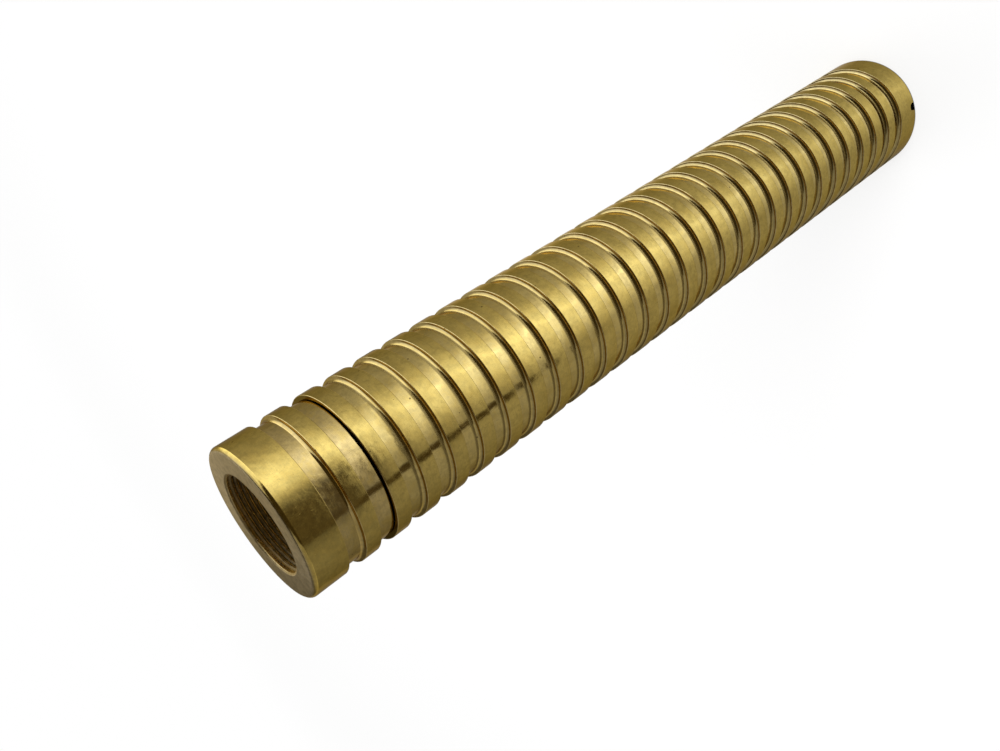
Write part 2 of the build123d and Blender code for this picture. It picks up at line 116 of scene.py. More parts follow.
# Node helpers. A value is a number, a colour of three parts or another node's socket
class NodeMaker:
    def __init__(self, tree):
        self.tree = tree

    def add(self, kind, inputs=None, **settings):
        node = self.tree.nodes.new(kind)
        for key, value in settings.items():
            setattr(node, key, value)
        for key, value in (inputs or {}).items():
            self.feed(node.inputs[key], value)
        return node

    def feed(self, socket, value):
        if isinstance(value, bpy.types.NodeSocket):
            self.tree.links.new(value, socket)
        elif socket.type == "RGBA":
            socket.default_value = (*value, 1)
        else:
            socket.default_value = value

    def math(self, operation, a, b=None, c=None, clamp=False):
        values = {i: v for i, v in enumerate((a, b, c)) if v is not None}
        return self.add("ShaderNodeMath", values, operation=operation, use_clamp=clamp).outputs[0]

    def product(self, first, *others):
        for other in others:
            first = self.math("MULTIPLY", first, other)
        return first

    # What a share leaves of the whole
    def rest(self, share):
        return self.math("SUBTRACT", 1.0, share)

    # That share of the way from the value to the target
    def blend(self, share, value, target):
        return self.math("MULTIPLY_ADD", self.math("SUBTRACT", target, value), share, value)

    def mixColor(self, factor, a, b, how="MIX"):
        node = self.add("ShaderNodeMix", data_type="RGBA", blend_type=how)
        self.feed(node.inputs[0], factor)
        self.feed(node.inputs[6], a)
        self.feed(node.inputs[7], b)
        return node.outputs[2]

    def mapRange(self, value, low, high, toLow=0.0, toHigh=1.0, smooth=True):
        kind = "SMOOTHSTEP" if smooth else "LINEAR"
        inputs = {0: value, 1: low, 2: high, 3: toLow, 4: toHigh}
        return self.add("ShaderNodeMapRange", inputs, interpolation_type=kind).outputs[0]

    # 0 up to low, 1 between lowFull and highFull, 0 again from high on
    def window(self, value, low, lowFull, highFull, high):
        return self.product(self.mapRange(value, low, lowFull), self.mapRange(value, high, highFull))

    def noise(self, vector, scale, detail=2.0, roughness=0.5, distortion=0.0):
        inputs = {"Vector": vector, "Scale": scale, "Detail": detail,
                  "Roughness": roughness, "Distortion": distortion}
        return self.add("ShaderNodeTexNoise", inputs).outputs["Fac"]

    def scale(self, vector, factor):
        return self.add("ShaderNodeVectorMath", {0: vector, 3: factor}, operation="SCALE").outputs[0]

    def stretch(self, vector, scale, turn=(0, 0, 0)):
        inputs = {"Vector": vector, "Rotation": turn, "Scale": scale}
        return self.add("ShaderNodeMapping", inputs).outputs[0]


number = "NodeSocketFloat"
vector = "NodeSocketVector"
whole = "NodeSocketInt"
shape = "NodeSocketGeometry"
finish = "NodeSocketMaterial"


def newTree(name, kind, inputs, outputs):
    tree = bpy.data.node_groups.new(name, kind)
    identifiers = {}
    for label, socketKind, value in inputs:
        socket = tree.interface.new_socket(label, in_out="INPUT", socket_type=socketKind)
        identifiers[label] = socket.identifier
        if value is not None:
            socket.default_value = value
    for label, socketKind in outputs:
        tree.interface.new_socket(label, in_out="OUTPUT", socket_type=socketKind)
    make = NodeMaker(tree)
    given = make.add("NodeGroupInput").outputs
    out = make.add("NodeGroupOutput").inputs
    return tree, make, given, out, identifiers


def shaderGroup(name, inputs, outputs):
    return newTree(name, "ShaderNodeTree", inputs, outputs)[:4]


def useGroup(make, tree, **values):
    node = make.add("ShaderNodeGroup")
    node.node_tree = tree
    for key, value in values.items():
        make.feed(node.inputs[key[0].upper() + key[1:]], value)
    return node.outputs


# Fine rings left by the lathe: streaks across the axis
latheRings = {
    "coarse": {"stretch": (0.08, 0.08, 6.0), "detail": 2.0, "share": 0.4},
    "fine": {"stretch": (0.2, 0.2, 26.0), "detail": 3.0, "share": 0.6},
}


def turningMarksGroup():
    tree, make, given, out = shaderGroup(
        "turningMarks",
        [("Vector", vector, None), ("Fineness", number, 1.0)],
        [("Height", number), ("Tone", number)],
    )
    scaled = make.scale(given["Vector"], given["Fineness"])
    coarse, fine = latheRings["coarse"], latheRings["fine"]
    wide = make.noise(make.stretch(scaled, coarse["stretch"]), 1.0, coarse["detail"])
    thin = make.noise(make.stretch(scaled, fine["stretch"]), 1.0, fine["detail"])
    height = make.math("MULTIPLY_ADD", thin, fine["share"], make.product(wide, coarse["share"]))
    make.feed(out["Height"], height)
    make.feed(out["Tone"], wide)
    return tree


# Blotchy film where the brass has been handled. Noise is detail, roughness and distortion
blotchyFilm = {
    "largeNoise": (4.0, 0.6, 0.8),
    "smallNoise": (4.0, 0.65, 0.3),
    "smallScale": 6.0,      # times finer than the large blotches
    "largeShare": 0.55,
    "smallShare": 0.45,
    "barest": 0.75,         # level of noise at which the film starts, with none asked for
    "amountReach": 0.5,     # how far the full amount lowers it
    "softness": 0.2,
}


def patinaGroup():
    tree, make, given, out = shaderGroup(
        "patina",
        [("Vector", vector, None), ("Scale", number, 0.3), ("Amount", number, 0.5)],
        [("Mask", number), ("Mottle", number)],
    )
    f = SimpleNamespace(**blotchyFilm)
    large = make.noise(given["Vector"], given["Scale"], *f.largeNoise)
    small = make.noise(given["Vector"], make.product(given["Scale"], f.smallScale), *f.smallNoise)
    both = make.math("MULTIPLY_ADD", small, f.smallShare, make.product(large, f.largeShare))
    edge = make.math("SUBTRACT", f.barest, make.product(given["Amount"], f.amountReach))
    make.feed(out["Mask"], make.mapRange(both, edge, make.math("ADD", edge, f.softness)))
    make.feed(out["Mottle"], small)
    return tree


# Hair scratches in two slanting directions, each set in its own patches
hairLines = {
    "sets": (((0.7, 0.2, 0.9), 3.0), ((-0.5, 0.9, 0.1), 17.0)),     # turn, place in the noise
    "stretch": (0.12, 1.6, 0.12),
    "patchScale": 0.35,
    "barest": 0.8,
    "densityReach": 0.4,
}


def scratchesGroup():
    tree, make, given, out = shaderGroup(
        "scratches",
        [("Vector", vector, None), ("Width", number, 0.02), ("Density", number, 0.5)],
        [("Mask", number)],
    )
    masks = []
    for turn, offset in hairLines["sets"]:
        moved = make.add("ShaderNodeVectorMath", {0: given["Vector"], 1: (offset,) * 3}).outputs[0]
        lines = make.noise(make.stretch(moved, hairLines["stretch"], turn), 1.0, 1.0)
        away = make.math("ABSOLUTE", make.math("SUBTRACT", lines, 0.5))
        thin = make.math("SUBTRACT", 1.0, make.math("DIVIDE", away, given["Width"]), clamp=True)
        patches = make.noise(moved, hairLines["patchScale"], 1.0)
        limit = make.math("SUBTRACT", hairLines["barest"],
                          make.product(given["Density"], hairLines["densityReach"]))
        masks.append(make.product(thin, make.math("GREATER_THAN", patches, limit)))
    make.feed(out["Mask"], make.math("MAXIMUM", *masks))
    return tree


# Small dark specks
def specksGroup():
    tree, make, given, out = shaderGroup(
        "specks",
        [("Vector", vector, None), ("Scale", number, 0.5), ("Size", number, 0.06), ("Share", number, 0.3)],
        [("Mask", number)],
    )
    cells = make.add("ShaderNodeTexVoronoi", {"Vector": given["Vector"], "Scale": given["Scale"]})
    near = make.math("LESS_THAN", cells.outputs["Distance"], given["Size"])
    pick = make.add("ShaderNodeSeparateColor", {0: cells.outputs["Color"]}).outputs[0]
    make.feed(out["Mask"], make.product(near, make.math("LESS_THAN", pick, given["Share"])))
    return tree


# Slow waves that hand polishing leaves, which make mirrored shapes uneven
slowWaves = {"smallScale": 3.5, "smallShare": 0.2}


def handPolishGroup():
    tree, make, given, out = shaderGroup(
        "handPolish", [("Vector", vector, None), ("Scale", number, 0.5)], [("Height", number)])
    broad = make.noise(given["Vector"], given["Scale"], 1.0)
    small = make.noise(given["Vector"], make.product(given["Scale"], slowWaves["smallScale"]), 2.0)
    make.feed(out["Height"], make.math("MULTIPLY_ADD", small, slowWaves["smallShare"], broad))
    return tree


turningMarks = turningMarksGroup()
patina = patinaGroup()
scratches = scratchesGroup()
specks = specksGroup()
handPolish = handPolishGroup()


def newMaterial(name, **sockets):
    material = bpy.data.materials.new(name)
    material.use_nodes = True
    tree = material.node_tree
    make = NodeMaker(tree)
    shader = tree.nodes["Principled BSDF"]
    for key, value in sockets.items():
        words = "".join(" " + c if c.isupper() else c for c in key)
        label = "IOR" if key == "ior" else words[0].upper() + words[1:]
        make.feed(shader.inputs[label], value)
    inMillimetres = make.scale(make.add("ShaderNodeTexCoord").outputs["Object"], 1 / mm)
    return material, make, shader, inMillimetres


def addRelief(make, shader, height, depth, strength):
    bump = make.add("ShaderNodeBump", {"Strength": strength, "Distance": depth * mm, "Height": height})
    make.feed(shader.inputs["Normal"], bump.outputs[0])


def addTurnedGrain(make, shader):
    around = make.add("ShaderNodeTangent", direction_type="RADIAL", axis="Z")
    make.feed(shader.inputs["Tangent"], around.outputs[0])


# Turned brass, handled: the whole outside. Lengths are in mm
brass = {
    "clean": (0.84, 0.615, 0.165),
    "film": (0.62, 0.43, 0.10),
    "tubeFloor": (0.92, 0.695, 0.24),
    "headFloor": (0.86, 0.64, 0.245),
    "boreWall": (0.74, 0.56, 0.26),
    "grooveWall": (0.66, 0.50, 0.20),
    "face": (0.78, 0.66, 0.43),
    # pale colour of rubbed edges and thread crests, partly a painted highlight
    "bright": (1.0, 0.88, 0.58),
    "grazing": (0.80, 0.66, 0.42),
    # colour of the painted shade at the grooves' feet and in their fillets
    "footShade": (0.21, 0.15, 0.055),
    # colour of the dark specks, and of the painted shade inside the front joint
    "grime": (0.07, 0.04, 0.015),
    # where each finish lies
    "grooveDepths": (0.3, 0.5),     # under the lands: a floor's colour starts, is full
    "boreDepth": 0.1,               # under the grooves' floors
    "wallTilt": (0.5, 0.9),         # upright part of the normal
    "faceTilt": (0.8, 0.97),
    "faceDepths": (0.5, 0.3),       # under the front face
    "footBand": (0.34, 0.47, 0.7, 1.0),     # painted shade at a groove's foot, from the wall outwards
    "paleReach": (110, 20),         # heights between which the brass grows paler
    "jointReach": 0.12,             # painted shade either side of the front joint's middle, on the faces inside the gap
    "jointDepth": 0.12,
    # how strong each is
    "blotches": {"scale": 0.20, "amount": 0.62},
    "hairs": {"width": 0.010, "density": 0.5},
    "dots": {"scale": 0.45, "size": 0.07, "share": 0.3},
    "filmLevel": 0.6,
    "footLevel": 0.6,
    "cornerShadeLevel": 0.25,
    "dotLevel": 0.7,
    "jointLevel": 0.85,
    "wornEdge": 0.4,
    "paleTail": (0.04, 0.16),       # green and blue added at the tail
    # from level, to level, value there, value there
    "ringTone": (0.35, 0.65, 0.97, 1.02),
    "mottleTone": (0.3, 0.7, 0.80, 1.12),
    "ownTone": (0, 1, 0.95, 1.03),          # of one land or floor and the next
    "edgeWear": (0.35, 0.6, 0.4, 1.0),
    "cornerDirt": (0.3, 0.85),
    "dirtPatches": (0.3, 0.65, 0.85, 1.1),
    # roughness, and what is added to it
    "roughness": 0.085,
    "filmRoughness": 0.07,
    "ringRoughness": 0.04,
    "grooveRoughness": -0.02,
    "hairRoughness": 0.12,
    "footRoughness": 0.3,
    "boreRoughness": 0.18,          # the bores are not polished
    "faceRoughness": 0.34,          # the front face's own, in place of the sum
    "anisotropy": 0.4,
    # relief
    "waveScale": 0.45,
    "waves": 0.032,                 # depth of the polish's waviness
    "ringMarks": 0.0018,            # depth of the lathe's marks
    "hairCut": -0.8,                # depth of a scratch in lathe marks
}


def brassMaterial(name, cornerShadeLevel=brass["cornerShadeLevel"], roughness=brass["roughness"], shadeLevel=1.0):
    b = SimpleNamespace(**brass)
    material, make, shader, place = newMaterial(name, metallic=1.0, anisotropic=b.anisotropy,
                                                specularTint=b.grazing)
    rings = useGroup(make, turningMarks, vector=place, fineness=1.0)
    film = useGroup(make, patina, vector=place, **b.blotches)
    hair = useGroup(make, scratches, vector=place, **b.hairs)
    dots = useGroup(make, specks, vector=place, **b.dots)
    wavy = useGroup(make, handPolish, vector=place, scale=b.waveScale)["Height"]
    edge = make.add("ShaderNodeAttribute", attribute_name="edge").outputs["Fac"]
    corner = make.add("ShaderNodeAttribute", attribute_name="corner").outputs["Fac"]

    # Masks for where a point lies on the bar
    axes = make.add("ShaderNodeSeparateXYZ", {0: place}).outputs
    height = axes[2]
    radius = make.math("SQRT", make.math("MULTIPLY_ADD", axes[0], axes[0], make.math("POWER", axes[1], 2.0)))
    normal = make.add("ShaderNodeNewGeometry").outputs["Normal"]
    upright = make.add("ShaderNodeSeparateXYZ", {0: normal}).outputs[2]
    inGroove = make.mapRange(radius, *[bar["radius"] - depth for depth in b.grooveDepths])
    outside = make.mapRange(radius, bar["root"] - b.boreDepth, bar["root"])
    wall = make.mapRange(make.math("ABSOLUTE", upright), *b.wallTilt)
    face = make.product(make.mapRange(upright, *b.faceTilt),
                        make.mapRange(height, *[bar["frontFace"] - depth for depth in b.faceDepths]))
    inBore = make.product(make.rest(outside), make.rest(face))
    # A band at the foot of each groove behind the head, which gets painted shade
    fromFoot = make.math("MODULO", make.math("SUBTRACT", height, bar["rearBand"]), bar["pitch"])
    behindHead = make.math("LESS_THAN", height, bar["tubeFront"])
    foot = make.product(make.window(fromFoot, *b.footBand), make.product(inGroove, behindHead))
    # Painted shade on the faces inside the front joint's gap
    joint = bar["tubeFront"] + bar["jointGap"] / 2
    fromJoint = make.math("ABSOLUTE", make.math("SUBTRACT", height, joint))
    inJoint = make.product(make.math("LESS_THAN", fromJoint, b.jointReach),
                           make.math("LESS_THAN", radius, bar["radius"] - b.jointDepth))

    # Colour: the ground of each place, then shade, rubbed edges with a painted highlight, painted shade in
    # the fillets, groove feet and front joint, and dark specks over it
    inHead = make.math("GREATER_THAN", height, bar["tubeFront"])
    ground = make.mixColor(inGroove, b.clean, make.mixColor(inHead, b.tubeFloor, b.headFloor))
    tone = make.mixColor(make.product(film["Mask"], b.filmLevel), ground, b.film)
    tone = make.mixColor(wall, tone, make.mixColor(outside, b.boreWall, b.grooveWall))
    tone = make.mixColor(face, tone, b.face)
    sinceRear = make.math("SUBTRACT", height, bar["rearBand"] - bar["pitch"])
    index = make.math("FLOOR", make.math("DIVIDE", sinceRear, bar["pitch"] / 2))
    ownTone = make.add("ShaderNodeTexWhiteNoise", {"W": index}, noise_dimensions="1D").outputs["Value"]
    shade = make.product(make.mapRange(rings["Tone"], *b.ringTone),
                         make.mapRange(film["Mottle"], *b.mottleTone),
                         make.mapRange(ownTone, *b.ownTone, smooth=False), shadeLevel)
    paler = make.mapRange(height, *b.paleReach)
    greener, bluer = [make.product(shade, make.math("MULTIPLY_ADD", paler, more, 1.0)) for more in b.paleTail]
    grey = make.add("ShaderNodeCombineColor", {0: shade, 1: greener, 2: bluer}).outputs[0]
    tone = make.mixColor(1.0, tone, grey, "MULTIPLY")
    # Rounded edges and thread crests go towards the pale colour: rubbed brass, partly a painted highlight
    rubbedAndHighlitEdge = make.product(edge, make.mapRange(film["Mottle"], *b.edgeWear), b.wornEdge)
    # Painted shade in the concave fillets and thread roots, patchy with the film's mottle
    paintedCornerShade = make.product(make.mapRange(corner, *b.cornerDirt), cornerShadeLevel,
                        make.mapRange(film["Mottle"], *b.dirtPatches))
    for mask, over in ((rubbedAndHighlitEdge, b.bright), (paintedCornerShade, b.footShade), (make.product(foot, b.footLevel), b.footShade),
                       (make.product(dots["Mask"], b.dotLevel), b.grime),
                       (make.product(inJoint, b.jointLevel), b.grime)):
        tone = make.mixColor(mask, tone, over)
    make.feed(shader.inputs["Base Color"], tone)

    rough = roughness
    for mask, added in ((film["Mask"], b.filmRoughness), (rings["Tone"], b.ringRoughness),
                        (inGroove, b.grooveRoughness), (hair["Mask"], b.hairRoughness),
                        (foot, b.footRoughness), (face, b.faceRoughness - roughness),
                        (inBore, b.boreRoughness)):
        rough = make.math("MULTIPLY_ADD", mask, added, rough)
    make.feed(shader.inputs["Roughness"], rough)
    fine = make.math("MULTIPLY_ADD", hair["Mask"], b.hairCut, rings["Height"])
    wavy = make.product(wavy, make.rest(inBore))
    relief = make.math("MULTIPLY_ADD", wavy, b.waves, make.product(fine, b.ringMarks))
    addRelief(make, shader, relief, 1.0, 1.0)
    addTurnedGrain(make, shader)
    return material


brassOutside = brassMaterial("turned_brass")
# The threads' brass is painted darker overall as shade inside the bores, with stronger painted shade in their
# roots
brassThread = brassMaterial("thread_brass", cornerShadeLevel=0.5, roughness=0.2, shadeLevel=0.6)
print("brass ready")

# Inner metals: colour, roughness, and the depth of the lathe's rings in mm
metals = {
    "inner_brass": {"colour": (0.86, 0.67, 0.28), "dull": (0.70, 0.52, 0.20), "rough": 0.22, "rings": 0.003},
    "copper": {"colour": (0.90, 0.50, 0.33), "dull": (0.62, 0.30, 0.18), "rough": 0.25, "rings": 0.003},
    "aluminium": {"colour": (0.78, 0.78, 0.79), "dull": (0.62, 0.62, 0.63), "rough": 0.30, "rings": 0.004},
    "gold_plate": {"colour": (0.95, 0.74, 0.34), "dull": (0.86, 0.62, 0.24), "rough": 0.16, "rings": 0.0},
    "nickel": {"colour": (0.74, 0.72, 0.68), "dull": (0.60, 0.58, 0.54), "rough": 0.20, "rings": 0.001},
    "spring_steel": {"colour": (0.70, 0.69, 0.67), "dull": (0.48, 0.46, 0.44), "rough": 0.24, "rings": 0.0},
}
metalFinish = {"film": {"scale": 0.4, "amount": 0.4}, "maskShare": 0.5, "mottleShare": 0.4,
               "smoothest": 0.05, "mottleRoughness": 0.12, "relief": 0.3, "anisotropy": 0.4}
# Glass: tint, bending and the colour of its coating's reflection
glasses = {
    "window_glass": {"tint": (0.97, 0.99, 0.98), "ior": 1.46, "coat": (0.55, 0.42, 0.90)},
    "lens_glass": {"tint": (0.98, 0.99, 0.98), "ior": 1.52, "coat": (0.45, 0.75, 0.55)},
    "filter_glass": {"tint": (0.55, 0.86, 0.84), "ior": 1.52, "coat": (0.9, 0.5, 0.4)},
    "crystal": {"tint": (0.93, 0.90, 0.99), "ior": 1.78, "coat": (0.6, 0.7, 0.9)},
}
glassFinish = {"dust": {"scale": 3.0, "size": 0.05, "share": 0.05}, "dustRoughness": 0.4,
               "smearScale": 0.35, "smear": (0.4, 0.75, 0.0, 0.05)}
# Mouldings, boards and the like: colour, its lighter cast, roughness, grain size in mm and grain height
mouldings = {
    "seal_rubber": {"colour": (0.018, 0.018, 0.018), "cast": (0.035, 0.034, 0.033), "rough": 0.55,
                    "grain": 0.12, "height": 0.004},
    "board": {"colour": (0.012, 0.12, 0.045), "cast": (0.03, 0.20, 0.07), "rough": 0.22,
              "grain": 0.9, "height": 0.004},
    "black_plastic": {"colour": (0.022, 0.022, 0.023), "cast": (0.04, 0.04, 0.04), "rough": 0.45,
                      "grain": 0.15, "height": 0.004},
    "ceramic": {"colour": (0.42, 0.31, 0.19), "cast": (0.52, 0.41, 0.28), "rough": 0.5,
                "grain": 0.1, "height": 0.002},
    "white_plastic": {"colour": (0.78, 0.77, 0.72), "cast": (0.84, 0.83, 0.79), "rough": 0.38,
                      "grain": 0.2, "height": 0.002},
    "cell_wrap": {"colour": (0.02, 0.09, 0.30), "cast": (0.03, 0.12, 0.36), "rough": 0.20,
                  "grain": 2.5, "height": 0.02},
    "insulator": {"colour": (0.80, 0.77, 0.68), "cast": (0.88, 0.86, 0.80), "rough": 0.75,
                  "grain": 0.12, "height": 0.01},
}
mouldedFinish = {"broadScale": 0.25, "castReach": (0.3, 0.7), "smoothest": 0.07, "broadRoughness": 0.15,
                 "relief": 0.4}


def metalMaterial(name, colour, dull, rough, rings):
    m = SimpleNamespace(**metalFinish)
    turned = m.anisotropy if rings else 0.0
    material, make, shader, place = newMaterial(name, metallic=1.0, anisotropic=turned)
    marks = useGroup(make, turningMarks, vector=place, fineness=1.0)
    film = useGroup(make, patina, vector=place, **m.film)
    dulled = make.math("MULTIPLY_ADD", film["Mask"], m.maskShare, make.product(film["Mottle"], m.mottleShare))
    make.feed(shader.inputs["Base Color"], make.mixColor(dulled, colour, dull))
    uneven = make.math("MULTIPLY_ADD", film["Mottle"], m.mottleRoughness, rough - m.smoothest)
    make.feed(shader.inputs["Roughness"], uneven)
    if rings:
        addRelief(make, shader, marks["Height"], rings, m.relief)
        addTurnedGrain(make, shader)
    return material


def glassMaterial(name, tint, ior, coat):
    g = SimpleNamespace(**glassFinish)
    material, make, shader, place = newMaterial(name, transmissionWeight=1.0, ior=ior, specularTint=coat)
    make.feed(shader.inputs["Base Color"], tint)
    dust = useGroup(make, specks, vector=place, **g.dust)
    smear = make.mapRange(make.noise(place, g.smearScale, 3.0), *g.smear)
    make.feed(shader.inputs["Roughness"], make.math("MULTIPLY_ADD", dust["Mask"], g.dustRoughness, smear))
    return material


def mouldedMaterial(name, colour, cast, rough, grain, height):
    m = SimpleNamespace(**mouldedFinish)
    material, make, shader, place = newMaterial(name)
    fine = make.noise(place, 1 / grain, 2.0)
    broad = make.noise(place, m.broadScale / grain, 3.0)
    make.feed(shader.inputs["Base Color"], make.mixColor(make.mapRange(broad, *m.castReach), colour, cast))
    uneven = make.math("MULTIPLY_ADD", broad, m.broadRoughness, rough - m.smoothest)
    make.feed(shader.inputs["Roughness"], uneven)
    addRelief(make, shader, fine, height, m.relief)
    return material


surfaces = {"turned_brass": brassOutside}
for newSurface, looks in ((metalMaterial, metals), (glassMaterial, glasses), (mouldedMaterial, mouldings)):
    for slotName, look in looks.items():
        surfaces[slotName] = newSurface(slotName, **look)
print("inner materials ready")


# Lathe work. A corner is (radius, height, rounding). The path that comes back is a row of
# (radius, height, edge mark, corner mark), with each rounding in small steps.
lathe = {
    "segments": 192,
    "headSegments": 256,
    "buttonSegments": 128,
    "arcStep": 0.06,        # length of a rounding's steps in mm
    "steps": (2, 6),        # fewest and most steps
    "largestMarked": 0.3,   # a larger rounding isn't marked as an edge
    "join": 0.0005,         # points nearer than this are merged, in mm
    "wideJoin": 0.002,      # the same for a path that meets the axis, or two meshes
    "sharpAngle": 50,
    "normalWeight": 60,
}


def roundedPath(corners, closed=True):
    path = []
    count = len(corners)
    area = sum(corners[i - 1][0] * corners[i][1] - corners[i][0] * corners[i - 1][1] for i in range(count))
    fewest, most = lathe["steps"]
    for i, (radius, height, rounding) in enumerate(corners):
        if rounding == 0 or not closed and i in (0, count - 1):
            path.append((radius, height, 0.0, 0.0))
            continue
        here = Vector((radius, height))
        back = Vector(corners[i - 1][:2]) - here
        ahead = Vector(corners[(i + 1) % count][:2]) - here
        half = back.angle(ahead) / 2
        reach = rounding / math.tan(half)
        bend = back.x * ahead.y - back.y * ahead.x
        outside = (bend < 0) == (area > 0)
        centre = here + (back.normalized() + ahead.normalized()).normalized() * rounding / math.sin(half)
        start = here + back.normalized() * reach - centre
        end = here + ahead.normalized() * reach - centre
        steps = min(most, max(fewest, math.ceil(rounding / lathe["arcStep"])))
        for step in range(steps + 1):
            share = step / steps
            direction = start.normalized().lerp(end.normalized(), share).normalized()
            if rounding < lathe["largestMarked"]:
                edge = corner = math.sin(math.pi * share)
            else:
                edge, corner = 0.0, 1.0 - share
            marks = (edge, 0.0) if outside else (0.0, corner)
            path.append((*(centre + direction * rounding), *marks))
    return path


def turnedMesh(name, path, segments, closed=True):
    mesh = bpy.data.meshes.new(name)
    points = []
    for k in range(segments):
        angle = 2 * math.pi * k / segments
        points += [(r * math.cos(angle) * mm, r * math.sin(angle) * mm, z * mm) for r, z, *_ in path]
    rows = len(path)
    faces = []
    for k in range(segments):
        a, b = k * rows, (k + 1) % segments * rows
        for j in range(rows if closed else rows - 1):
            nextRow = (j + 1) % rows
            faces.append((a + j, b + j, b + nextRow, a + nextRow))
    mesh.from_pydata(points, [], faces)
    for label, column in (("edge", 2), ("corner", 3)):
        layer = mesh.attributes.new(label, "FLOAT", "POINT")
        layer.data.foreach_set("value", [row[column] for row in path] * segments)
    return mesh


def tidyMesh(mesh, join=lathe["join"], sharpAngle=lathe["sharpAngle"]):
    work = bmesh.new()
    work.from_mesh(mesh)
    bmesh.ops.remove_doubles(work, verts=work.verts, dist=join * mm)
    bmesh.ops.recalc_face_normals(work, faces=work.faces)
    for face in work.faces:
        face.smooth = True
    for line in work.edges:
        bent = len(line.link_faces) == 2 and line.calc_face_angle(0) > math.radians(sharpAngle)
        line.smooth = not bent
    work.to_mesh(mesh)
    work.free()


# The evaluated mesh takes the place of the object's own, and its modifiers go
def bakeModifiers(obj):
    bpy.context.view_layer.update()
    graph = bpy.context.evaluated_depsgraph_get()
    mesh = bpy.data.meshes.new_from_object(obj.evaluated_get(graph))
    obj.modifiers.clear()
    old = obj.data
    obj.data = mesh
    bpy.data.meshes.remove(old)
    return obj


# The mesh with even shading. The object that it was worked on goes
def finishedMesh(obj):
    weighted = obj.modifiers.new("evenNormals", "WEIGHTED_NORMAL")
    weighted.keep_sharp = True
    weighted.weight = lathe["normalWeight"]
    mesh = bakeModifiers(obj).data
    bpy.data.objects.remove(obj)
    return mesh


def newPiece(name, mesh, material, body, slotName, *nodes):
    obj = newObject(name, mesh)
    mesh.materials.clear()
    mesh.materials.append(material)
    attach(obj, body)
    if nodes:
        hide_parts(*nodes)
    return obj


def turnedObject(name, corners, segments, join=lathe["join"]):
    mesh = turnedMesh(name, roundedPath(corners), segments)
    tidyMesh(mesh, join)
    return newObject(name + "Work", mesh)


# A modifier's tree ends in plain faces with their material
def feedFinished(make, given, out, geometry):
    solid = make.add("GeometryNodeRealizeInstances", {0: geometry})
    inputs = {"Geometry": solid.outputs[0], "Material": given["Material"]}
    painted = make.add("GeometryNodeSetMaterial", inputs)
    make.feed(out[0], painted.outputs[0])


# Geometry Nodes: one turned ring repeated along the axis
def ringPatternTree():
    tree, make, given, out, identifiers = newTree(
        "ringPattern", "GeometryNodeTree",
        [("Ring", shape, None), ("Rings", whole, 3), ("Pitch", number, 0.005), ("Material", finish, None)],
        [("Rings", shape)],
    )
    step = make.add("ShaderNodeCombineXYZ", {2: given["Pitch"]}).outputs[0]
    line = make.add("GeometryNodeMeshLine", {"Count": given["Rings"], "Offset": step}, mode="OFFSET")
    copies = make.add("GeometryNodeInstanceOnPoints", {"Points": line.outputs[0], "Instance": given["Ring"]})
    feedFinished(make, given, out, copies.outputs[0])
    return tree, identifiers


# Geometry Nodes: a thread's ridge as a swept helix that fades in and out
ridge = {
    "resolution": 96,       # points in a turn
    "fadeRate": 4.0,        # a quarter of a turn to full height
    "thinnest": 0.02,
    "rootShare": 0.85,      # of the pitch
    "crestShare": 0.16,
    "join": 0.0002,
    "sharpAngle": 35,
    # how far a crest takes the pale colour: rubbed brass with a painted highlight
    "wear": 0.4,
}


def threadTree():
    tree, make, given, out, identifiers = newTree(
        "threadRidge", "GeometryNodeTree",
        [("Radius", number, 0.01), ("Start", number, 0.0), ("Turns", number, 5.0), ("Pitch", number, 0.001),
         ("Height", number, 0.0005), ("Root", number, 0.0006), ("Crest", number, 0.0001),
         ("Facing", number, 0.0), ("Material", finish, None)],
        [("Thread", shape)],
    )
    rise = make.product(given["Turns"], given["Pitch"])
    helix = make.add("GeometryNodeCurveSpiral", {
        "Resolution": ridge["resolution"], "Rotations": given["Turns"], "Start Radius": given["Radius"],
        "End Radius": given["Radius"], "Height": rise})
    lift = make.add("ShaderNodeCombineXYZ", {2: given["Start"]}).outputs[0]
    moved = make.add("GeometryNodeSetPosition", {"Geometry": helix.outputs[0], "Offset": lift})
    upright = make.add("GeometryNodeSetCurveNormal", {"Curve": moved.outputs[0]}, mode="Z_UP")
    factor = make.add("GeometryNodeSplineParameter").outputs["Factor"]
    fromEnd = make.math("MINIMUM", factor, make.rest(factor))
    rate = make.product(given["Turns"], ridge["fadeRate"])
    fade = make.math("MAXIMUM", make.math("MULTIPLY", fromEnd, rate, clamp=True), ridge["thinnest"])
    sized = make.add("GeometryNodeSetCurveRadius", {"Curve": upright.outputs[0], "Radius": fade})
    widths = {"Bottom Width": given["Root"], "Top Width": given["Crest"],
              "Height": given["Height"], "Offset": 0.0}
    section = make.add("GeometryNodeCurvePrimitiveQuadrilateral", widths, mode="TRAPEZOID")
    turn = make.add("ShaderNodeCombineXYZ", {2: given["Facing"]}).outputs[0]
    faced = make.add("GeometryNodeTransform", {"Geometry": section.outputs[0], "Rotation": turn})
    swept = make.add("GeometryNodeCurveToMesh", {
        "Curve": sized.outputs[0], "Profile Curve": faced.outputs[0], "Fill Caps": True, "Scale": fade})
    feedFinished(make, given, out, swept.outputs[0])
    return tree, identifiers


def grow(obj, tree, identifiers, values):
    modifier = obj.modifiers.new(tree.name, "NODES")
    modifier.node_group = tree
    for label, value in values.items():
        modifier[identifiers[label]] = value
    return bakeModifiers(obj)


# Body tube: 24 whole rings by rule, and the rest of the section turned in one
tube = {
    "segments": 216,
    "cellBore": 9.5,
    "endBore": 10.5,
    "mouth": 0.4,           # chamfer at both ends
    "boreRear": bar["neckTop"],
    "boreFront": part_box("heat_sink")[0].z / mm,
    "threadRoot": 10.75,
    "threadRun": (2.7, 3.0),    # above the rear end: the thread's root starts, is full
    "threadStop": 0.3,          # under the cell's bore
}


